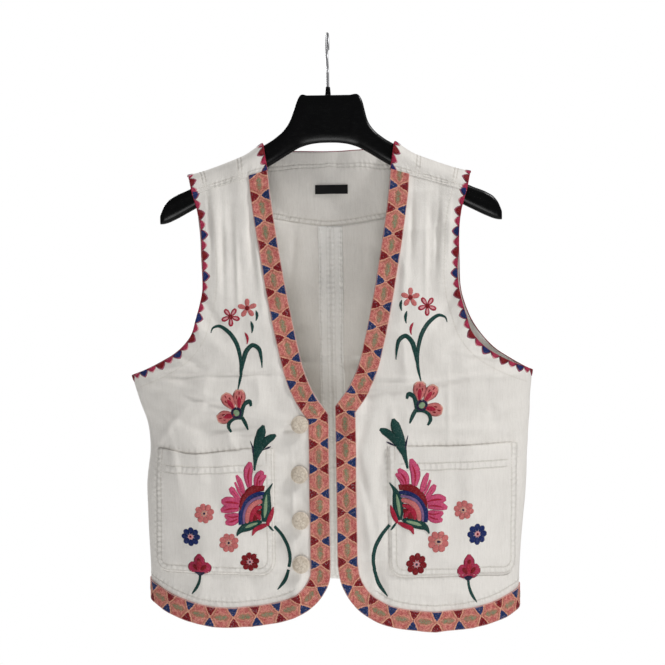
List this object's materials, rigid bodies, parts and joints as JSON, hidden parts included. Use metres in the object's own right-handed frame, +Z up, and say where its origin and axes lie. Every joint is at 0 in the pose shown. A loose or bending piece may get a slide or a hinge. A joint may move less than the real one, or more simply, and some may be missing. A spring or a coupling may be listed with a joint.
{
  "type": "embroidered waistcoat on a hanger",
  "caption": "Open-fronted cloth waistcoat with V neck, embroidered border band, patch pockets and shank buttons, hung on a plastic hanger with a wire hook.",
  "frame": {"origin": "inner top of the hook's bend, where the rail carries it", "axes": "+Z up, -Y is the front of the waistcoat, +X to the right as seen from the front"},
  "size_m": [0.4796, 0.1331, 0.7008],
  "materials": {
    "cloth": "off-white cotton twill",
    "border": "close-stitched salmon border with navy and dark red triangles",
    "button": "cream moulded",
    "label": "black woven tape, blank",
    "hanger": "glossy black moulding",
    "hook": "bright wire"
  },
  "bodies": {
    "root": {"front_left": "cloth", "front_right": "cloth", "back_left": "cloth", "back_right": "cloth", "yoke": "cloth", "back_seam_strip": "cloth", "pocket_left": "cloth", "pocket_right": "cloth", "border_front_left": "border", "border_front_right": "border", "border_back_left": "border", "border_back_right": "border", "button_1": "button", "button_2": "button", "button_3": "button", "button_4": "button", "label": "label", "hanger_body": "hanger", "hanger_ferrule": "hanger", "hanger_hook": "hook"}
  },
  "joints": []
}
